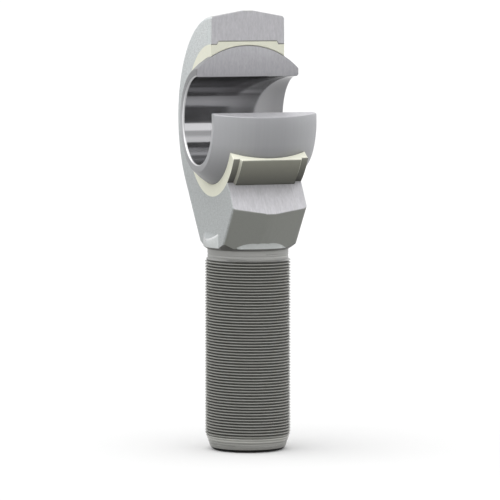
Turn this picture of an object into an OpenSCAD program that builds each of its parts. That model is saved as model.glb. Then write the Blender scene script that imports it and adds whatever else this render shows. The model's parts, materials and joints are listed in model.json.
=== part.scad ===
// Spherical rod end with a male left-hand thread, shown as a section model.
// The ball's centre is the origin, the bore runs along X, and the shank points down.
// A sector on the -Y side of the eye is cut away, with a lower cut face for each piece.

/* [Inner ring] */
// Diameter of the bore that takes the pin
bore_d = 20; // [14:0.5:21.5]
// Width of the ring across its end faces
ring_w = 25; // [19.5:0.5:26]
// Diameter of the ring's spherical outside
ball_d = 34.4; // [33.5:0.1:42]
// Rounding of the two edges of the bore
bore_edge_r = 0.6; // [0.2:0.1:0.8]
// Rounding where an end face meets the ball
ball_edge_r = 0.4; // [0.1:0.1:1]

/* [Liner] */
// Running clearance between the ball and the liner, all round
ball_clearance = 0.04; // [0.02:0.01:0.08]
// Thickness of the liner over the middle of the ball
liner_t = 0.96; // [0.6:0.02:2]
// Height of the two lips that keep the liner in the eye
lip_h = 0.7; // [0.3:0.1:1]
// Width of each lip at its crest
lip_w = 1.5; // [0.8:0.1:3]
// How far the flank of a lip leans towards the middle of the eye
lip_lean = 0.4; // [0:0.1:1]

/* [Eye] */
// Width of the eye across its side faces
eye_w = 18; // [15:0.5:19]
// Wall from the liner's seat to the crown of the eye
eye_wall = 7.05; // [5:0.05:9]
// Width of the flat crown
crown_w = 2.4; // [1:0.1:6]
// Draft of the forged slopes beside the crown
draft_angle = 10.2; // [5:0.1:14]
// Rounding where a slope meets a side face
eye_edge_r = 0.8; // [0.3:0.1:1.5]

/* [Neck] */
// Angle between each flank of the neck and the shank's axis
flank_angle = 38; // [32:1:42]
// Drop from the crown's radius to the rim at the foot of the neck
neck_drop = 4.45; // [3.5:0.05:8]
// Slope of the turned underside of the neck, from level
underside_angle = 32; // [20:1:40]
// Step from the thread's crest out to the round boss
boss_step = 0.4; // [0.2:0.1:1]
// Height of the boss above the rim, where it leaves a side face
boss_h = 3.85; // [2.5:0.05:5]
// Slope of the boss's shoulder, from level
shoulder_angle = 50; // [35:1:60]

/* [Shank] */
// Distance from the ball's centre to the end of the shank
shank_l = 76.1; // [60:0.1:110]
// Diameter over the crests of the thread
thread_d = 19.8; // [16:0.1:22]
// Depth of the relief groove below the crests
groove_depth = 0.52; // [0.4:0.02:1]
// Length of the relief groove from the rim to its run-out
groove_l = 1.95; // [1.5:0.05:5]
// Slope of the groove's run-out, from the shank's axis
runout_angle = 40; // [30:1:60]
// Depth of the lead chamfer below the crests
lead_depth = 1.18; // [0.5:0.02:2]
// Slope of the lead chamfer, from the shank's axis
lead_angle = 20; // [15:1:45]
// Edge broken off round the end face
end_break = 0.44; // [0.2:0.02:1]

/* [Section] */
// Cut a sector away to show the pieces inside
sectioned = true; // [true, false]
// Slope of the housing's lower cut face, from level
housing_cut_angle = 56; // [30:0.1:65]
// Height at which that face would meet the upright one
housing_cut_rise = 2.8; // [0:0.02:10]
// Slope of the liner's lower cut face
liner_cut_angle = 31.5; // [10:0.1:55]
// Height at which that face would meet the upright one
liner_cut_rise = 1.4; // [0:0.02:10]
// Slope of the ring's lower cut face
ring_cut_angle = 6.7; // [0:0.1:40]
// Height at which that face would meet the upright one
ring_cut_rise = 3.28; // [0:0.02:8]

/* [Hidden] */
$fn = 128;

// How far a cutting shape runs past what it cuts
over = 1;

bore_r = bore_d / 2;
ball_r = ball_d / 2;
ring_half = ring_w / 2;
liner_bore_r = ball_r + ball_clearance;
seat_r = liner_bore_r + liner_t;
lip_r = seat_r - lip_h;

eye_half = eye_w / 2;
crown_half = crown_w / 2;
crown_r = seat_r + eye_wall;
side_r = crown_r - (eye_half - crown_half) * tan(draft_angle);

thread_r = thread_d / 2;
groove_r = thread_r - groove_depth;
boss_r = thread_r + boss_step;
rim_z = -(crown_r + neck_drop);
runout_z = rim_z - groove_l;
thread_top_z = runout_z - groove_depth / tan(runout_angle);
end_z = -shank_l;
lead_r = thread_r - lead_depth;
thread_foot_z = end_z + end_break + lead_depth / tan(lead_angle);
// The flanks run past the rim, and the underside trims them
flank_l = (crown_r + shank_l) / 2;

// Turns a section drawn with the axis across and the radius up into a body about X
module revolve_about_x() {
    rotate([0, 90, 0]) rotate_extrude() rotate(-90) children();
}

// The corner that a rounding takes off, drawn at the corner of a quarter plane
module corner_waste(r) {
    difference() {
        translate([-r, -r]) square(r + over);
        translate([-r, -r]) circle(r);
    }
}

// Sector cut away: the upright plane Y = 0 above, a sloping plane below
module sector(angle, rise) {
    reach = crown_r + over;
    rotate([90, 0, 90])
        linear_extrude(ring_w + 2 * over, center = true)
            polygon([
                [0, rise],
                [0, reach],
                [-reach, reach],
                [-reach, rise - reach * tan(angle)]
            ]);
}

// Half section of the eye, from the radius given as inner out to the crown
module eye_section(inner) {
    // The rounding touches the side face and the slope
    mid_x = eye_half - eye_edge_r;
    mid_y = side_r + eye_edge_r * (tan(draft_angle) - 1 / cos(draft_angle));
    slope_x = mid_x + eye_edge_r * sin(draft_angle);
    slope_y = mid_y + eye_edge_r * cos(draft_angle);
    polygon([
        [-eye_half, inner],
        [-eye_half, mid_y],
        [-slope_x, slope_y],
        [-crown_half, crown_r],
        [crown_half, crown_r],
        [slope_x, slope_y],
        [eye_half, mid_y],
        [eye_half, inner]
    ]);
    for (side = [-1, 1])
        translate([side * mid_x, mid_y]) circle(eye_edge_r);
}

// Half section of the liner's seat, from the axis out, up to half its width given as half
module seat_section(half) {
    lip_x = eye_half - lip_w;
    seat_x = lip_x - lip_lean;
    polygon([
        [-half, 0],
        [-half, lip_r],
        [-lip_x, lip_r],
        [-seat_x, seat_r],
        [seat_x, seat_r],
        [lip_x, lip_r],
        [half, lip_r],
        [half, 0]
    ]);
}

// One flank: the eye's own section drawn out along a tangent of the eye
module flank() {
    rotate([180 + flank_angle, 0, 0])
        linear_extrude(flank_l) eye_section(-crown_r);
}

// Where both flanks overlap they leave the wedge-shaped neck between them
module neck() {
    intersection() {
        flank();
        mirror([0, 1, 0]) flank();
    }
}

// Round boss that stands out of the side faces under a sloping shoulder
module boss() {
    shoulder_z = rim_z + boss_h;
    reach = boss_r + over;
    fall = (reach - eye_half) * tan(shoulder_angle);
    intersection() {
        translate([0, 0, rim_z - over]) cylinder(h = boss_h + over + eye_half, r = boss_r);
        rotate([90, 0, 0])
            linear_extrude(2 * reach, center = true)
                polygon([
                    [-reach, rim_z - 2 * over],
                    [-reach, shoulder_z - fall],
                    [-eye_half, shoulder_z],
                    [0, shoulder_z + eye_half],
                    [eye_half, shoulder_z],
                    [reach, shoulder_z - fall],
                    [reach, rim_z - 2 * over]
                ]);
    }
}

// All that the lathe takes off below the neck, outside the groove's radius
module underside_waste() {
    reach = crown_r + over;
    rotate_extrude()
        polygon([
            [groove_r, rim_z],
            [reach, rim_z + (reach - groove_r) * tan(underside_angle)],
            [reach, end_z],
            [groove_r, end_z]
        ]);
}

// Turned shank: relief groove, thread blank at crest diameter, lead chamfer
module shank() {
    root_z = rim_z + over;
    rotate_extrude()
        polygon([
            [0, root_z],
            [groove_r, root_z],
            [groove_r, runout_z],
            [thread_r, thread_top_z],
            [thread_r, thread_foot_z],
            [lead_r, end_z + end_break],
            [lead_r - end_break, end_z],
            [0, end_z]
        ]);
}

// Forged eye, neck and shank in one piece, with the recess that holds the liner
module housing() {
    color([0.69, 0.70, 0.71])
        difference() {
            union() {
                revolve_about_x() eye_section(0);
                difference() {
                    union() {
                        neck();
                        boss();
                    }
                    underside_waste();
                }
                shank();
            }
            revolve_about_x() seat_section(eye_half + over);
            if (sectioned) sector(housing_cut_angle, housing_cut_rise);
        }
}

// Composite moulded into the recess, flush with the side faces
module liner() {
    color([0.87, 0.87, 0.80])
        difference() {
            revolve_about_x() seat_section(eye_half);
            sphere(liner_bore_r);
            if (sectioned) sector(liner_cut_angle, liner_cut_rise);
        }
}

// Half section of the ring: the ball between two end faces, above the bore
module ring_section() {
    // Centre of the rounding that touches an end face and the ball
    mid_x = ring_half - ball_edge_r;
    mid_y = sqrt(pow(ball_r - ball_edge_r, 2) - pow(mid_x, 2));
    grow = ball_r / (ball_r - ball_edge_r);
    difference() {
        intersection() {
            circle(ball_r);
            translate([-ring_half, bore_r]) square([ring_w, ball_r]);
        }
        for (side = [0, 1]) mirror([side, 0]) {
            translate([ring_half, bore_r]) mirror([0, 1]) corner_waste(bore_edge_r);
            difference() {
                polygon([
                    [ring_half, mid_y],
                    [ring_half + over, mid_y],
                    [ring_half + over, mid_y * grow + over],
                    [mid_x * grow, mid_y * grow + over],
                    [mid_x * grow, mid_y * grow]
                ]);
                translate([mid_x, mid_y]) circle(ball_edge_r);
            }
        }
    }
}

// Hardened ring that swivels in the liner and takes the pin
module inner_ring() {
    color([0.66, 0.66, 0.68])
        difference() {
            revolve_about_x() ring_section();
            if (sectioned) sector(ring_cut_angle, ring_cut_rise);
        }
}

housing();
liner();
inner_ring();
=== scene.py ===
"""Looks of a spherical rod end in section: threaded housing, liner and inner ring, in a white studio."""
import json
import math

import bmesh
import bpy
from mathutils import Euler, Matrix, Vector


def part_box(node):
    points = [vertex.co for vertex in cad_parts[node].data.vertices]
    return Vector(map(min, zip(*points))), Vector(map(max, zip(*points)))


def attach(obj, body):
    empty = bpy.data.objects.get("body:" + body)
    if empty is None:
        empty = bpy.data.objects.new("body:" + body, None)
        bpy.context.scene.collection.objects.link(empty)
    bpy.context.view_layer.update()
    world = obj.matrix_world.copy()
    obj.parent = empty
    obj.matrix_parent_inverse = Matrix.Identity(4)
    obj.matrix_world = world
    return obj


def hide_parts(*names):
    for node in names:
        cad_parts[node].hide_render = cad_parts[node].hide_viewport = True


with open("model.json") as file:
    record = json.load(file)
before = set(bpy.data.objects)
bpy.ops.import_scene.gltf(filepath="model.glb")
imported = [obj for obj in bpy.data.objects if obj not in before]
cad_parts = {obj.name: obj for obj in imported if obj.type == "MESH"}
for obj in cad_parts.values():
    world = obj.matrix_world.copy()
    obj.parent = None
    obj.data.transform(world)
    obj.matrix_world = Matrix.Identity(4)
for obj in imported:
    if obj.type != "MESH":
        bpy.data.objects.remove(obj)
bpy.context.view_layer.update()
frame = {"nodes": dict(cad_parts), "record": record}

MM = 0.001
DEG = math.radians(1)

# Construction sizes, in metres, as the solids have them
RING_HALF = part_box("inner_ring")[1].x
BALL_R = -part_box("inner_ring")[0].y
BORE_R = frame["record"]["mounts"][0]["dims"]["r_mm"] * MM
BORE_EDGE_R = 0.6 * MM
BALL_EDGE_R = 0.4 * MM
EYE_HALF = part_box("liner")[1].x
SEAT_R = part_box("liner")[1].z
LINER_BORE_R = BALL_R + 0.04 * MM
LIP_R = SEAT_R - 0.7 * MM
LIP_X = EYE_HALF - 1.5 * MM
SEAT_X = LIP_X - 0.4 * MM
HOUSING_CUT = (56 * DEG, 2.8 * MM)
LINER_CUT = (31.5 * DEG, 1.4 * MM)
RING_CUT = (6.7 * DEG, 3.28 * MM)

END_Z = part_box("housing")[0].z
RIM_Z = -29.7 * MM
GROOVE_R = 9.38 * MM
CREST_R = 9.9 * MM
RUNOUT_Z = -31.65 * MM
THREAD_TOP_Z = -32.27 * MM
THREAD_FOOT_Z = -72.42 * MM
LEAD_R = 8.72 * MM
LEAD_ANGLE = 20 * DEG
END_BREAK = 0.44 * MM

# The left-hand thread: the helix falls as the angle grows
PITCH = 0.665 * MM
THREAD_DEPTH = 0.56 * MM
THREAD_PHASE = 0.5
# One pitch of the thread, as (share of the pitch, share of the depth)
THREAD_FORM = [(0.0, 0.0), (0.09, 0.0), (0.27, 0.5), (0.45, 1.0), (0.55, 1.0), (0.73, 0.5), (0.91, 0.0)]
THREAD_STEPS = 128
SPARE_TURNS = 3
# Height on the lead chamfer at which the thread's roots run out
ROOTS_END_Z = THREAD_FOOT_Z - THREAD_DEPTH / math.tan(LEAD_ANGLE)
# Faint turns that the thread leaves on the groove above it and on the chamfer below it
MARKS_TOP_Z = -30.6 * MM
MARKS_END_Z = ROOTS_END_Z - 1.4 * PITCH
MARK_DEPTH = 0.1 * MM
# Height of the plain band right under the faint turns
MARKS_FOOT = 0.04 * MM

# Finishes and painted light of the housing's faces, in the order of its materials: flank, underside and
# end_edge carry painted shade, and boss, crest and lower_cut painted light
FINISHES_AND_PAINTED_LIGHT = [
    "forged", "cut", "turned", "thread", "underside", "flank",
    "boss", "end_edge", "groove", "lower_cut", "crest",
]

# Small edge breaks of the cut edges and of the boss, whose rounded edge carries a painted highlight
CUT_BREAK = 0.12 * MM
BOSS_EDGE_R = 0.28 * MM
BOSS_EDGE_STEPS = 4
BOSS_R = 10.3 * MM
# The longest mitre at a corner is the depth divided by this
MITRE_LIMIT = 0.4

# Steps of the revolved bodies, round the axis and along the arcs of their sections
TURN_STEPS = 192
BORE_EDGE_STEPS = 8
BALL_EDGE_STEPS = 5
BALL_STEPS = 72
LINER_STEPS = 64

# The frame's forging ends here, and a short bridge joins it to the shank that is built below
SPLIT_Z = RIM_Z - 0.6 * MM
BRIDGE = 0.05 * MM

# Mending of the frame's mesh: closer vertices join, smaller slivers and flatter edges dissolve
MEND_JOIN = 0.005 * MM
MEND_SLIVER = 0.02 * MM
MEND_ANGLE = 0.3 * DEG
# The same for the joined housing
JOINED_MEND = 0.0005 * MM

# How near a face's centre lies to the surface that it belongs to
ON_CUT = 0.01 * MM
ON_SEAT = 0.1 * MM
ON_BOSS = 0.05 * MM
# Share of a face's normal along an axis, by which its finish or painted light is told
SQUARE_ON = 0.999
SIDE_ON = 0.99
LOOKS_DOWN = 0.75
LOOKS_SIDEWAYS = 0.7
STANDS_UPRIGHT = 0.02

# Outward edges sharper than the first are broken, and shading stops at edges sharper than the second
BREAK_ANGLE = 30 * DEG
SMOOTH_ANGLE = 28 * DEG

# The floor reaches past the top of the frame, lies a hair below the foot, and throws little light back up
FLOOR_HALF = 80
FLOOR_GAP = 0.25 * MM
FLOOR_SHOWN = (0.70, 0.70, 0.70)
FLOOR_BOUNCE = (0.12, 0.12, 0.10)

# Studio light by elevation, as (degrees, light): all round, then in front, on the right and on the left
SKY_ROUND = [(0, 0.8), (25, 0.9), (40, 1.0), (60, 1.6), (90, 2.6)]
SKY_FRONT = [(0, 0.7), (5, 0.7), (7, 1.7), (26, 1.7), (28, 0.8), (38, 0.8), (46, 1.5), (66, 1.9), (90, 2.6)]
SKY_RIGHT = [(0, 1.9), (22, 1.9), (30, 0.9), (54, 0.9), (60, 1.5), (80, 1.8), (90, 2.6)]
SKY_LEFT = [(0, 0.85), (12, 1.1), (25, 1.5), (35, 1.9), (54, 1.9), (90, 2.6)]
# Level direction of each side, which takes over from the light all round between these two angles
SKY_SIDES = [((0.34, -0.94, 0), SKY_FRONT), ((1, 0, 0), SKY_RIGHT), ((-1, 0, 0), SKY_LEFT)]
FACING_FROM = 75 * DEG
FACING_TO = 35 * DEG
# To the camera and in reflections, the backdrop is white up to the first elevation and faded at the second
BACKDROP_TOP = (4.5 * DEG, 6 * DEG)

CAMERA_PLACE = Vector((-0.298252, -0.823440, 0.040991))
CAMERA_TURN = Euler((85.359 * DEG, 0, -19.943 * DEG))
CAMERA_LENS = 273.316
CAMERA_CLIP = (0.01, 200)
SENSOR_WIDTH = 36

# Grain of each kind of surface, as the features per millimetre of its layers, coarse first
STREAKS = [(1.8, 0.35, 0.35), (4.0, 1.1, 1.1)]
FINE = [(2, 1, 2), (4, 2, 4)]
TURNED = [(0.6, 0.2, 0), (4, 1, 0)]
MOULDED = [(0.8, 0.8, 0.8), (4, 4, 4)]
POLISHED = [(0.3, 6, 6), (0.5, 12, 12)]
GROUND = [(0.5, 3, 0), (1, 9, 0)]
# The middle of a noise's range, where nearly all of its values lie
NOISE_MIDDLE = (0.3, 0.7)


def new_object(name, bm, materials):
    """Turns a finished bmesh into an object with these materials."""
    mesh = bpy.data.meshes.new(name)
    bm.to_mesh(mesh)
    bm.free()
    for material in materials:
        mesh.materials.append(material)
    piece = bpy.data.objects.new(name, mesh)
    bpy.context.scene.collection.objects.link(piece)
    return piece


def arc(cx, cy, radius, start, stop, steps):
    """Points on an arc, both ends included."""
    angles = [start + (stop - start) * k / steps for k in range(steps + 1)]
    return [(cx + radius * math.cos(angle), cy + radius * math.sin(angle)) for angle in angles]


def inset(outline, depth):
    """A closed outline moved inwards by depth, with mitred corners. The outline runs counterclockwise."""
    moved = []
    for k, point in enumerate(outline):
        before = Vector(outline[k - 1])
        here = Vector(point)
        after = Vector(outline[(k + 1) % len(outline)])
        a = (here - before).normalized()
        b = (after - here).normalized()
        normal_a = Vector((-a.y, a.x))
        normal_b = Vector((-b.y, b.x))
        both = (normal_a + normal_b).normalized()
        moved.append(here + both * depth / max(both.dot(normal_a), MITRE_LIMIT))
    return moved


def cut_revolve(name, outline, bands, cut, materials):
    """A body of revolution about X with a sector cut away, and its cut edges broken.

    outline holds (x, radius, band) points counterclockwise, and bands gives each band's material number.
    cut gives the sloping face's angle and the height at which it meets the upright one. The body runs
    from the upright face down behind and up again in front to the sloping face.
    """
    slope, rise = cut
    offset = rise * math.cos(slope)
    plane = [(x, r) for x, r, _ in outline]

    def along(r):
        return math.sqrt(r * r - offset * offset)

    def last_angle(r):
        y = -offset * math.sin(slope) - along(r) * math.cos(slope)
        z = offset * math.cos(slope) - along(r) * math.sin(slope)
        return math.atan2(z, y) - 2 * math.pi if z > 0 else math.atan2(z, y)

    bm = bmesh.new()
    columns = []
    for step in range(TURN_STEPS + 1):
        share = step / TURN_STEPS
        column = []
        for x, r in plane:
            first = math.pi / 2 - CUT_BREAK / r
            last = last_angle(r) + CUT_BREAK / r
            angle = first + (last - first) * share
            column.append(bm.verts.new((x, r * math.cos(angle), r * math.sin(angle))))
        columns.append(column)
    upright = [bm.verts.new((x, 0, z)) for x, z in inset(plane, CUT_BREAK)]
    sloping = []
    for x, s in inset([(x, along(r)) for x, r in plane], CUT_BREAK):
        y = -offset * math.sin(slope) - s * math.cos(slope)
        z = offset * math.cos(slope) - s * math.sin(slope)
        sloping.append(bm.verts.new((x, y, z)))

    count = len(plane)
    rows = [upright] + columns + [sloping]
    for left, right in zip(rows, rows[1:]):
        for k in range(count):
            n = (k + 1) % count
            face = bm.faces.new((left[k], left[n], right[n], right[k]))
            face.material_index = bands[outline[k][2]]
    for loop, band in ((upright[::-1], "cut"), (sloping, "slope")):
        bm.faces.new(loop).material_index = bands[band]
    bmesh.ops.recalc_face_normals(bm, faces=bm.faces)
    return new_object(name, bm, materials)


def ring_outline():
    """The inner ring's section above the bore, counterclockwise from the bore's left end."""
    mid_x = RING_HALF - BALL_EDGE_R
    mid_r = math.sqrt((BALL_R - BALL_EDGE_R) ** 2 - mid_x ** 2)
    touch = math.atan2(mid_r, mid_x)
    bore_x = RING_HALF - BORE_EDGE_R
    bore_mid = BORE_R + BORE_EDGE_R
    half = BORE_EDGE_STEPS // 2
    quarter = BORE_EDGE_STEPS // 4
    points = [(-bore_x, BORE_R, "bore"), (0, BORE_R, "bore")]
    rounding = arc(bore_x, bore_mid, BORE_EDGE_R, -90 * DEG, 0, BORE_EDGE_STEPS)
    points += [(x, r, "bore") for x, r in rounding[:half]]
    points += [(x, r, "face") for x, r in rounding[half:]]
    points[-1] = (RING_HALF, bore_mid, "face")
    rounding = arc(mid_x, mid_r, BALL_EDGE_R, 0, touch, BALL_EDGE_STEPS)
    points += [(x, r, "face") for x, r in rounding]
    points[-1] = (points[-1][0], points[-1][1], "ball")
    points += [(x, r, "ball") for x, r in arc(0, 0, BALL_R, touch, math.pi - touch, BALL_STEPS)[1:]]
    points[-1] = (points[-1][0], points[-1][1], "face")
    rounding = arc(-mid_x, mid_r, BALL_EDGE_R, math.pi - touch, math.pi, BALL_EDGE_STEPS)
    points += [(x, r, "face") for x, r in rounding[1:]]
    rounding = arc(-bore_x, bore_mid, BORE_EDGE_R, math.pi, 270 * DEG, BORE_EDGE_STEPS)
    points += [(x, r, "face") for x, r in rounding[:quarter]]
    points += [(x, r, "edge") for x, r in rounding[quarter:half + 1]]
    points += [(x, r, "bore") for x, r in rounding[half + 1:-1]]
    return points


def liner_outline():
    """The liner's section, counterclockwise from the left end of its bore."""
    edge = math.sqrt(LINER_BORE_R ** 2 - EYE_HALF ** 2)
    start = math.atan2(edge, -EYE_HALF)
    inner = arc(0, 0, LINER_BORE_R, start, math.pi - start, LINER_STEPS)
    points = [(x, r, "inside") for x, r in inner[:-1]] + [(*inner[-1], "side")]
    return points + [
        (EYE_HALF, LIP_R, "lip"),
        (LIP_X, LIP_R, "step"),
        (SEAT_X, SEAT_R, "outside"),
        (-SEAT_X, SEAT_R, "step"),
        (-LIP_X, LIP_R, "lip"),
        (-EYE_HALF, LIP_R, "side"),
    ]


def blank_radius(z):
    """Radius of the turned shank at a height, before the thread is rolled."""
    if z > RUNOUT_Z:
        return GROOVE_R
    if z > THREAD_TOP_Z:
        return GROOVE_R + (CREST_R - GROOVE_R) * (RUNOUT_Z - z) / (RUNOUT_Z - THREAD_TOP_Z)
    if z > THREAD_FOOT_Z:
        return CREST_R
    lead_end = END_Z + END_BREAK
    return CREST_R + (LEAD_R - CREST_R) * (THREAD_FOOT_Z - z) / (THREAD_FOOT_Z - lead_end)


def add_shank(bm, top_z):
    """Adds the threaded shank below top_z, and returns its top ring of vertices.

    The spare turns, above and below, are pressed flat onto the ends of the marks.
    """
    turns = math.ceil((MARKS_TOP_Z - MARKS_END_Z) / PITCH) + SPARE_TURNS
    levels = [(turn + share, deep) for turn in range(turns) for share, deep in THREAD_FORM]
    thread_start = MARKS_TOP_Z + PITCH

    def ring_point(radius, angle, z):
        return (radius * math.cos(angle), radius * math.sin(angle), z)

    columns = []
    for step in range(THREAD_STEPS + 1):
        angle = 2 * math.pi * step / THREAD_STEPS
        column = []
        for level, deep in levels:
            z = thread_start + (THREAD_PHASE + 1 - level - step / THREAD_STEPS) * PITCH
            z = min(max(z, MARKS_END_Z), MARKS_TOP_Z)
            radius = blank_radius(z)
            if MARKS_END_Z < z < MARKS_TOP_Z:
                radius = min(radius - deep * MARK_DEPTH, CREST_R - deep * THREAD_DEPTH)
            column.append(bm.verts.new(ring_point(radius, angle, z)))
        columns.append(column)
    for left, right in zip(columns, columns[1:]):
        for k in range(len(levels) - 1):
            bm.faces.new((left[k], left[k + 1], right[k + 1], right[k]))

    def ring(radius, z):
        angles = [2 * math.pi * s / THREAD_STEPS for s in range(THREAD_STEPS)]
        return [bm.verts.new(ring_point(radius, angle, z)) for angle in angles]

    def join(upper, lower):
        for s in range(THREAD_STEPS):
            n = (s + 1) % THREAD_STEPS
            bm.faces.new((upper[s], lower[s], lower[n], upper[n]))

    top = ring(GROOVE_R, top_z)
    join(top, ring(GROOVE_R, MARKS_TOP_Z))
    below = MARKS_END_Z - MARKS_FOOT
    foot = [ring(blank_radius(MARKS_END_Z), MARKS_END_Z), ring(blank_radius(below), below)]
    foot += [ring(LEAD_R, END_Z + END_BREAK), ring(LEAD_R - END_BREAK, END_Z)]
    for upper, lower in zip(foot, foot[1:]):
        join(upper, lower)
    bm.faces.new(list(reversed(foot[-1])))
    return top


def housing_finish_or_painted_light(centre, normal):
    """Number of the finish or painted light that a face of the forging gets, by where it lies and which way
    it looks.
    """
    slope, rise = HOUSING_CUT
    cut_normal = Vector((0, -math.sin(slope), math.cos(slope)))
    off_slope = abs((centre - Vector((0, 0, rise))).dot(cut_normal))
    off_boss = abs(math.hypot(centre.x, centre.y) - BOSS_R)
    from_bore_axis = math.hypot(centre.y, centre.z)
    if off_slope < ON_CUT and normal.dot(cut_normal) > SQUARE_ON:
        face_look = "lower_cut"
    elif abs(centre.y) < ON_CUT and normal.y < -SQUARE_ON and centre.z > 0:
        face_look = "cut"
    elif normal.z < -LOOKS_DOWN and RIM_Z < centre.z < -SEAT_R:
        face_look = "underside"
    elif centre.z < RIM_Z:
        face_look = "groove"
    elif from_bore_axis < SEAT_R + ON_SEAT and abs(normal.x) < SIDE_ON:
        face_look = "turned"
    elif centre.z < -SEAT_R and abs(normal.z) < STANDS_UPRIGHT and off_boss < ON_BOSS:
        face_look = "boss"
    elif abs(normal.x) > LOOKS_SIDEWAYS:
        face_look = "forged"
    else:
        face_look = "flank"
    return FINISHES_AND_PAINTED_LIGHT.index(face_look)


def break_edges(bm, wanted, allowed, width, segments, face_look):
    """Breaks the outward edges between a wanted finish or painted light and an allowed one.

    The last argument is the new faces' material number, such as the boss crest's painted highlight, where -1
    takes it from the faces beside them.
    """
    edges = []
    for edge in bm.edges:
        kinds = {FINISHES_AND_PAINTED_LIGHT[face.material_index] for face in edge.link_faces}
        between = len(edge.link_faces) == 2 and kinds & wanted and kinds <= allowed
        if between and edge.calc_face_angle_signed(0) > BREAK_ANGLE:
            edges.append(edge)
    bmesh.ops.bevel(
        bm, geom=edges, offset=width, offset_type="OFFSET", segments=segments, profile=0.5, affect="EDGES",
        clamp_overlap=False, material=face_look,
    )


def housing_piece(materials):
    """The forged eye and neck from the frame's own faces, carried on by a shank with its thread cut in."""
    bm = bmesh.new()
    bm.from_mesh(frame["nodes"]["housing"].data)
    bmesh.ops.remove_doubles(bm, verts=bm.verts, dist=MEND_JOIN)
    bmesh.ops.dissolve_degenerate(bm, edges=bm.edges, dist=MEND_SLIVER)
    bmesh.ops.bisect_plane(
        bm, geom=bm.verts[:] + bm.edges[:] + bm.faces[:],
        plane_co=(0, 0, SPLIT_Z), plane_no=(0, 0, -1), clear_outer=True,
    )
    bmesh.ops.dissolve_limit(bm, angle_limit=MEND_ANGLE, verts=bm.verts, edges=bm.edges)
    bmesh.ops.recalc_face_normals(bm, faces=bm.faces)
    for face in bm.faces:
        face.material_index = housing_finish_or_painted_light(face.calc_center_median(), face.normal)
    break_edges(bm, {"cut", "lower_cut"}, set(FINISHES_AND_PAINTED_LIGHT), CUT_BREAK, 1, -1)
    # The boss's rounded edge gets the crest, a painted highlight
    break_edges(bm, {"boss"}, {"boss", "forged"}, BOSS_EDGE_R, BOSS_EDGE_STEPS, FINISHES_AND_PAINTED_LIGHT.index("crest"))
    rim = [edge for edge in bm.edges if len(edge.link_faces) == 1]
    forging = set(bm.faces)
    top = set(add_shank(bm, SPLIT_Z - BRIDGE))
    rim += [edge for edge in bm.edges if edge.verts[0] in top and edge.verts[1] in top]
    bmesh.ops.bridge_loops(bm, edges=rim)
    for face in bm.faces:
        if face in forging:
            continue
        height = face.calc_center_median().z
        if height < END_Z + END_BREAK:
            face_look = "end_edge"
        elif ROOTS_END_Z < height < THREAD_TOP_Z:
            face_look = "thread"
        elif height > THREAD_TOP_Z:
            face_look = "groove"
        else:
            face_look = "turned"
        face.material_index = FINISHES_AND_PAINTED_LIGHT.index(face_look)
    bmesh.ops.remove_doubles(bm, verts=bm.verts, dist=JOINED_MEND)
    bmesh.ops.dissolve_degenerate(bm, edges=bm.edges, dist=JOINED_MEND)
    bmesh.ops.recalc_face_normals(bm, faces=bm.faces)
    return new_object("housing_forging", bm, materials)


def shade(piece):
    """Smooth shading that stops at sharp edges, with its normals led by the larger faces."""
    piece.data.shade_smooth()
    piece.data.set_sharp_from_angle(angle=SMOOTH_ANGLE)
    normals = piece.modifiers.new("normals", "WEIGHTED_NORMAL")
    normals.keep_sharp = True


def link(tree, output, target):
    tree.links.new(output, target)


def value_node(tree, kind, operation, *inputs):
    """A Math or Vector Math node, with each input a number, a vector or another node's output."""
    node = tree.nodes.new(kind)
    node.operation = operation
    for socket, source in zip(node.inputs, inputs):
        if isinstance(source, bpy.types.NodeSocket):
            link(tree, source, socket)
        else:
            socket.default_value = source
    return node


def grain_place(tree, around):
    """Coordinates in millimetres: plain, or (height, distance from the axis) around X or Z."""
    place = tree.nodes.new("ShaderNodeTexCoord").outputs["Object"]
    place = value_node(tree, "ShaderNodeVectorMath", "SCALE", place).outputs[0]
    place.node.inputs["Scale"].default_value = 1 / MM
    if around is None:
        return place
    parts = tree.nodes.new("ShaderNodeSeparateXYZ")
    link(tree, place, parts.inputs[0])
    first, second = ("Y", "Z") if around == "X" else ("X", "Y")
    flat = tree.nodes.new("ShaderNodeCombineXYZ")
    link(tree, parts.outputs[first], flat.inputs[0])
    link(tree, parts.outputs[second], flat.inputs[1])
    radius = value_node(tree, "ShaderNodeVectorMath", "LENGTH", flat.outputs[0])
    turned = tree.nodes.new("ShaderNodeCombineXYZ")
    link(tree, parts.outputs[around], turned.inputs[0])
    link(tree, radius.outputs["Value"], turned.inputs[1])
    return turned.outputs[0]


def grain(tree, place, per_mm, detail=3.0):
    """Noise between 0 and 1 with this many features per millimetre along each coordinate."""
    stretched = value_node(tree, "ShaderNodeVectorMath", "MULTIPLY", place, per_mm)
    noise = tree.nodes.new("ShaderNodeTexNoise")
    noise.inputs["Scale"].default_value = 1
    noise.inputs["Detail"].default_value = detail
    link(tree, stretched.outputs[0], noise.inputs["Vector"])
    return noise.outputs["Fac"]


def spread(tree, source, low, high):
    """The middle of a noise's range stretched to low and high."""
    ranged = tree.nodes.new("ShaderNodeMapRange")
    ranged.inputs["From Min"].default_value = NOISE_MIDDLE[0]
    ranged.inputs["From Max"].default_value = NOISE_MIDDLE[1]
    ranged.inputs["To Min"].default_value = low
    ranged.inputs["To Max"].default_value = high
    link(tree, source, ranged.inputs["Value"])
    return ranged.outputs[0]


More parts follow.
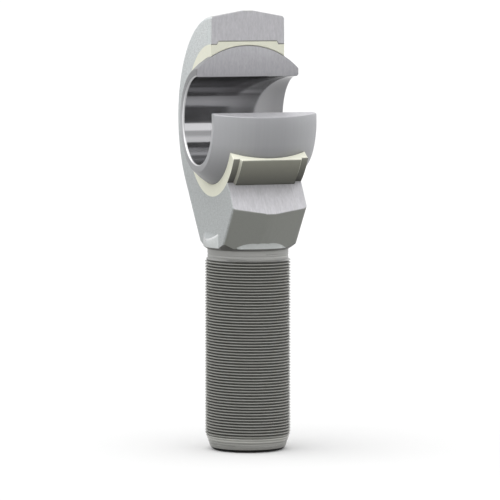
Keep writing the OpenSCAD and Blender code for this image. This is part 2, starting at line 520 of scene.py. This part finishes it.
def measured(tree, measure):
    """A length on the part: height, x, y, distance across from the middle, or depth under the blank."""
    place = tree.nodes.new("ShaderNodeTexCoord").outputs["Object"]
    parts = tree.nodes.new("ShaderNodeSeparateXYZ")
    link(tree, place, parts.inputs[0])
    if measure == "height":
        return parts.outputs["Z"]
    if measure in ("x", "y"):
        return parts.outputs[measure.upper()]
    if measure == "across":
        return value_node(tree, "ShaderNodeMath", "ABSOLUTE", parts.outputs["X"]).outputs[0]
    flat = value_node(tree, "ShaderNodeVectorMath", "MULTIPLY", place, (1, 1, 0)).outputs[0]
    radius = value_node(tree, "ShaderNodeVectorMath", "LENGTH", flat).outputs["Value"]
    slope = math.tan(LEAD_ANGLE)
    start = CREST_R - THREAD_FOOT_Z * slope
    cone = value_node(tree, "ShaderNodeMath", "MULTIPLY_ADD", parts.outputs["Z"], slope, start).outputs[0]
    blank = value_node(tree, "ShaderNodeMath", "MINIMUM", cone, CREST_R).outputs[0]
    return value_node(tree, "ShaderNodeMath", "SUBTRACT", blank, radius).outputs[0]


def place_shade(tree, measure, start, stop, low, high):
    """A factor that runs from low to high between two values, in mm, of a measure."""
    source = measured(tree, measure)
    ranged = tree.nodes.new("ShaderNodeMapRange")
    ranged.inputs["From Min"].default_value = start * MM
    ranged.inputs["From Max"].default_value = stop * MM
    ranged.inputs["To Min"].default_value = low
    ranged.inputs["To Max"].default_value = high
    link(tree, source, ranged.inputs["Value"])
    return ranged.outputs[0]


def surface(name, colour, metallic, roughness, grains, contrast, gloss_swing, relief, around=None, shades=()):
    """A material whose colour, gloss and relief follow the same grain.

    contrast is the colour's swing, gloss_swing the roughness's swing, and relief the height of the grain in
    millimetres. around names the axis that the grain turns about. shades lists the values of place_shade
    for painted light and shade, a colour that changes over the piece.
    """
    material = bpy.data.materials.new(name)
    material.use_nodes = True
    tree = material.node_tree
    shader = tree.nodes["Principled BSDF"]
    shader.inputs["Metallic"].default_value = metallic
    place = grain_place(tree, around)
    layers = [grain(tree, place, per_mm) for per_mm in grains]
    mixed = layers[0]
    for layer in layers[1:]:
        total = value_node(tree, "ShaderNodeMath", "ADD", mixed, layer).outputs[0]
        mixed = value_node(tree, "ShaderNodeMath", "MULTIPLY", total, 0.5).outputs[0]
    swing = spread(tree, mixed, 1 - contrast, 1 + contrast)
    for values in shades:
        swing = value_node(tree, "ShaderNodeMath", "MULTIPLY", swing, place_shade(tree, *values)).outputs[0]
    tint = value_node(tree, "ShaderNodeVectorMath", "SCALE", colour)
    link(tree, swing, tint.inputs["Scale"])
    link(tree, tint.outputs[0], shader.inputs["Base Color"])
    gloss = spread(tree, mixed, roughness - gloss_swing, roughness + gloss_swing)
    link(tree, gloss, shader.inputs["Roughness"])
    if relief:
        bump = tree.nodes.new("ShaderNodeBump")
        bump.inputs["Distance"].default_value = relief * MM
        link(tree, mixed, bump.inputs["Height"])
        link(tree, bump.outputs[0], shader.inputs["Normal"])
    return material


def build_camera():
    camera = bpy.data.objects.new("camera", bpy.data.cameras.new("camera"))
    bpy.context.scene.collection.objects.link(camera)
    camera.location = CAMERA_PLACE
    camera.rotation_euler = CAMERA_TURN
    camera.data.lens = CAMERA_LENS
    camera.data.sensor_width = SENSOR_WIDTH
    camera.data.clip_start = CAMERA_CLIP[0]
    camera.data.clip_end = CAMERA_CLIP[1]
    bpy.context.scene.camera = camera


def shown_rays(tree):
    """1 for rays of the camera and for those that gloss or a clear body sends on, 0 for the rest."""
    path = tree.nodes.new("ShaderNodeLightPath")
    shown = path.outputs["Is Camera Ray"]
    for kind in ("Is Glossy Ray", "Is Transmission Ray"):
        shown = value_node(tree, "ShaderNodeMath", "MAXIMUM", shown, path.outputs[kind]).outputs[0]
    return shown


def floor_material():
    """White to the camera and in the metal's reflections, and a darker bounce for diffuse light."""
    material = bpy.data.materials.new("floor")
    material.use_nodes = True
    tree = material.node_tree
    tree.nodes.remove(tree.nodes["Principled BSDF"])
    shown = tree.nodes.new("ShaderNodeBsdfDiffuse")
    shown.inputs["Color"].default_value = (*FLOOR_SHOWN, 1)
    bounce = tree.nodes.new("ShaderNodeBsdfDiffuse")
    bounce.inputs["Color"].default_value = (*FLOOR_BOUNCE, 1)
    mix = tree.nodes.new("ShaderNodeMixShader")
    link(tree, shown_rays(tree), mix.inputs[0])
    link(tree, bounce.outputs[0], mix.inputs[1])
    link(tree, shown.outputs[0], mix.inputs[2])
    link(tree, mix.outputs[0], tree.nodes["Material Output"].inputs["Surface"])
    return material


def build_floor():
    bm = bmesh.new()
    bmesh.ops.create_grid(bm, x_segments=1, y_segments=1, size=FLOOR_HALF)
    bmesh.ops.translate(bm, verts=bm.verts, vec=(0, 0, END_Z - FLOOR_GAP))
    new_object("floor", bm, [floor_material()])


def elevation_ramp(tree, height, stops):
    """World light by elevation. stops lists (elevation in degrees, light), from the horizon up."""
    ramp = tree.nodes.new("ShaderNodeValToRGB")
    ramp.color_ramp.interpolation = "LINEAR"
    while len(ramp.color_ramp.elements) < len(stops):
        ramp.color_ramp.elements.new(0.5)
    for element, (elevation, light) in zip(ramp.color_ramp.elements, stops):
        element.position = max(0, math.sin(elevation * DEG))
        element.color = (light, light, light, 1)
    link(tree, height, ramp.inputs[0])
    return ramp.outputs[0]


def facing(tree, direction, towards):
    """How far a direction points towards a level one: 0 from FACING_FROM outwards, 1 from FACING_TO in."""
    flat = value_node(tree, "ShaderNodeVectorMath", "MULTIPLY", direction, (1, 1, 0)).outputs[0]
    level = value_node(tree, "ShaderNodeVectorMath", "NORMALIZE", flat).outputs[0]
    cosine = value_node(tree, "ShaderNodeVectorMath", "DOT_PRODUCT", level, towards).outputs["Value"]
    ranged = tree.nodes.new("ShaderNodeMapRange")
    ranged.interpolation_type = "SMOOTHSTEP"
    ranged.inputs["From Min"].default_value = math.cos(FACING_FROM)
    ranged.inputs["From Max"].default_value = math.cos(FACING_TO)
    link(tree, cosine, ranged.inputs["Value"])
    return ranged.outputs[0]


def build_lights():
    world = bpy.data.worlds.new("studio")
    bpy.context.scene.world = world
    world.use_nodes = True
    tree = world.node_tree
    direction = tree.nodes.new("ShaderNodeTexCoord").outputs["Generated"]
    parts = tree.nodes.new("ShaderNodeSeparateXYZ")
    link(tree, direction, parts.inputs[0])
    light = elevation_ramp(tree, parts.outputs["Z"], SKY_ROUND)
    for towards, stops in SKY_SIDES:
        mix = tree.nodes.new("ShaderNodeMix")
        mix.data_type = "RGBA"
        link(tree, facing(tree, direction, towards), mix.inputs["Factor"])
        link(tree, light, mix.inputs["A"])
        link(tree, elevation_ramp(tree, parts.outputs["Z"], stops), mix.inputs["B"])
        light = mix.outputs["Result"]
    low = tree.nodes.new("ShaderNodeMapRange")
    low.inputs["From Min"].default_value = math.sin(BACKDROP_TOP[0])
    low.inputs["From Max"].default_value = math.sin(BACKDROP_TOP[1])
    low.inputs["To Min"].default_value = 1
    low.inputs["To Max"].default_value = 0
    link(tree, parts.outputs["Z"], low.inputs["Value"])
    white = value_node(tree, "ShaderNodeMath", "MULTIPLY", low.outputs[0], shown_rays(tree)).outputs[0]
    mix = tree.nodes.new("ShaderNodeMix")
    mix.data_type = "RGBA"
    link(tree, white, mix.inputs["Factor"])
    link(tree, light, mix.inputs["A"])
    mix.inputs["B"].default_value = (1, 1, 1, 1)
    link(tree, mix.outputs["Result"], tree.nodes["Background"].inputs["Color"])


housing_looks = {
    # The forging's skin, painted lighter towards the top of the eye: painted light
    "forged": surface(
        "forged_skin", (0.39, 0.41, 0.415), 0.2, 0.5, FINE, 0.22, 0.08, 0.03,
        shades=[("height", -14, 20, 1.06, 1.66)],
    ),
    "cut": surface("cut_steel", (0.42, 0.415, 0.436), 0.6, 0.45, STREAKS, 0.16, 0.05, 0.004),
    "turned": surface(
        "turned_steel", (0.31, 0.31, 0.295), 0.6, 0.4, TURNED, 0.12, 0.08, 0.006, around="Z",
    ),
    # Darker the deeper it lies under the turned blank: painted shade in the thread's grooves, with the crests
    # painted lighter
    "thread": surface(
        "rolled_thread", (0.33, 0.33, 0.31), 0.6, 0.4, FINE, 0.02, 0.03, 0.0,
        shades=[("depth", 0.15, 0.45, 1.15, 0.34)],
    ),
    # Nearly black: painted shade on the neck's down-facing underside
    "underside": surface(
        "turned_underside", (0.12, 0.12, 0.115), 0.3, 0.5, TURNED, 0.10, 0.05, 0.006, around="Z",
    ),
    # The forging's skin on the faces that look forwards and back, darker than the side faces and darker still
    # towards the neck: painted shade
    "flank": surface(
        "forged_flank", (0.405, 0.415, 0.395), 0.2, 0.5, FINE, 0.04, 0.04, 0.01,
        shades=[("height", -18, -4, 0.75, 1.0)],
    ),
    # The forging's skin on the boss, painted lighter than the side faces and darker towards the back (+y):
    # painted light
    "boss": surface(
        "forged_boss", (0.66, 0.685, 0.69), 0.25, 0.42, FINE, 0.06, 0.04, 0.01,
        shades=[("y", -1, 4, 1.0, 0.66)],
    ),
    # Black, with almost no gloss (set below): painted contact shade on the end break at the floor
    "end_edge": surface("end_edge", (0.03, 0.03, 0.03), 0.0, 0.6, TURNED, 0.10, 0.05, 0.0, around="Z"),
    "groove": surface(
        "turned_groove", (0.32, 0.32, 0.31), 0.45, 0.45, TURNED, 0.12, 0.08, 0.006, around="Z",
    ),
    # The cut steel painted lighter on the lower cut face, and lighter still towards the bottom, away from the
    # shade under the ball and liner: painted light and shade
    "lower_cut": surface(
        "lower_cut_steel", (0.475, 0.47, 0.492), 0.6, 0.45, STREAKS, 0.16, 0.05, 0.004,
        shades=[("height", -28, -16, 1.17, 1.0)],
    ),
    # A painted highlight on the boss's rounded edge, fading towards the back (+y)
    "crest": surface(
        "painted_boss_highlight", (0.74, 0.75, 0.76), 0.4, 0.30, FINE, 0.04, 0.04, 0.0,
        shades=[("y", -2, 4, 1.0, 0.50)],
    ),
}
# The end break's gloss is nearly taken away, so that its painted contact shade stays black
end_shader = housing_looks["end_edge"].node_tree.nodes["Principled BSDF"]
end_shader.inputs["Specular IOR Level"].default_value = 0.05

liner_looks = [
    surface("composite", (0.90, 0.90, 0.765), 0, 0.6, MOULDED, 0.03, 0.05, 0.006),
    surface("composite_cut", (0.80, 0.80, 0.68), 0, 0.6, MOULDED, 0.03, 0.05, 0.006),
    # The liner's cream composite painted dark on its down-facing outside and lip, lighter on the step, and
    # darker towards the bottom on all three: painted shade and light
    surface(
        "painted_liner_outside", (0.30, 0.30, 0.26), 0, 0.6, MOULDED, 0.04, 0.05, 0.006,
        shades=[("height", -14, -8.5, 0.45, 1.1)],
    ),
    surface(
        "painted_liner_lip", (0.27, 0.27, 0.24), 0, 0.6, MOULDED, 0.04, 0.05, 0.006,
        shades=[("height", -13, -8.5, 0.30, 1.05)],
    ),
    surface(
        "painted_liner_step", (0.80, 0.80, 0.70), 0, 0.6, MOULDED, 0.04, 0.05, 0.006,
        shades=[("height", -13, -8.5, 0.55, 1.05)],
    ),
]
liner_bands = {"inside": 0, "side": 0, "cut": 1, "slope": 1, "outside": 2, "lip": 3, "step": 4}

ring_looks = [
    # The bore's polish, with its reflection painted darker towards the +x end: a painted reflection
    surface(
        "polished_bore", (0.38, 0.38, 0.39), 0.9, 0.09, POLISHED, 0.02, 0.02, 0,
        shades=[("x", 0, 10, 1.0, 0.6)],
    ),
    # The ball's ground steel, painted darker towards the bottom and at the top by the liner's edge (painted
    # shade), and lighter towards both ends (painted sheen)
    surface(
        "ball_steel", (0.328, 0.331, 0.345), 0.45, 0.36, GROUND, 0.03, 0.03, 0, around="X",
        shades=[
            ("height", -14, -5, 0.42, 1.0),
            ("height", 8.5, 11, 1.0, 0.62),
            ("across", 3, 12, 0.94, 1.24),
        ],
    ),
    # Painted shade: the upright cut grows darker downwards towards the bore
    surface(
        "ring_cut_steel", (0.36, 0.357, 0.376), 0.7, 0.45, STREAKS, 0.15, 0.05, 0.004,
        shades=[("height", 10, 16, 0.80, 1.04)],
    ),
    # The same cut steel painted lighter on the sloping cut face: painted light
    surface("ring_slope_steel", (0.53, 0.526, 0.55), 0.7, 0.45, STREAKS, 0.15, 0.05, 0.004),
    # The bore's rounded edge, polished brighter than the bore so that it shows a highlight line, with that
    # highlight painted darker towards the top: painted shade
    surface(
        "polished_edge", (0.70, 0.70, 0.71), 1, 0.15, POLISHED, 0.02, 0.02, 0,
        shades=[("height", 1, 8, 1.0, 0.5)],
    ),
    # The ring's end faces, with a painted band of light just below mid-height and painted shade above and
    # below it
    surface(
        "ring_face_steel", (0.338, 0.341, 0.356), 0.45, 0.36, GROUND, 0.03, 0.03, 0, around="X",
        shades=[("height", -14, -2, 0.6, 1.2), ("height", -1, 9, 1.0, 0.45)],
    ),
]
ring_bands = {"bore": 0, "ball": 1, "cut": 2, "slope": 3, "edge": 4, "face": 5}

housing = housing_piece([housing_looks[face_look] for face_look in FINISHES_AND_PAINTED_LIGHT])
liner = cut_revolve("liner_moulding", liner_outline(), liner_bands, LINER_CUT, liner_looks)
ring = cut_revolve("ring_body", ring_outline(), ring_bands, RING_CUT, ring_looks)

for piece, node, body, slot in (
    (housing, "housing", "eye", "housing_steel"),
    (liner, "liner", "eye", "liner_composite"),
    (ring, "inner_ring", "ring", "ring_steel"),
):
    shade(piece)
    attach(piece, body)
    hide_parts(node)

build_camera()
build_floor()
build_lights()
bpy.context.scene.view_settings.view_transform = "Standard"
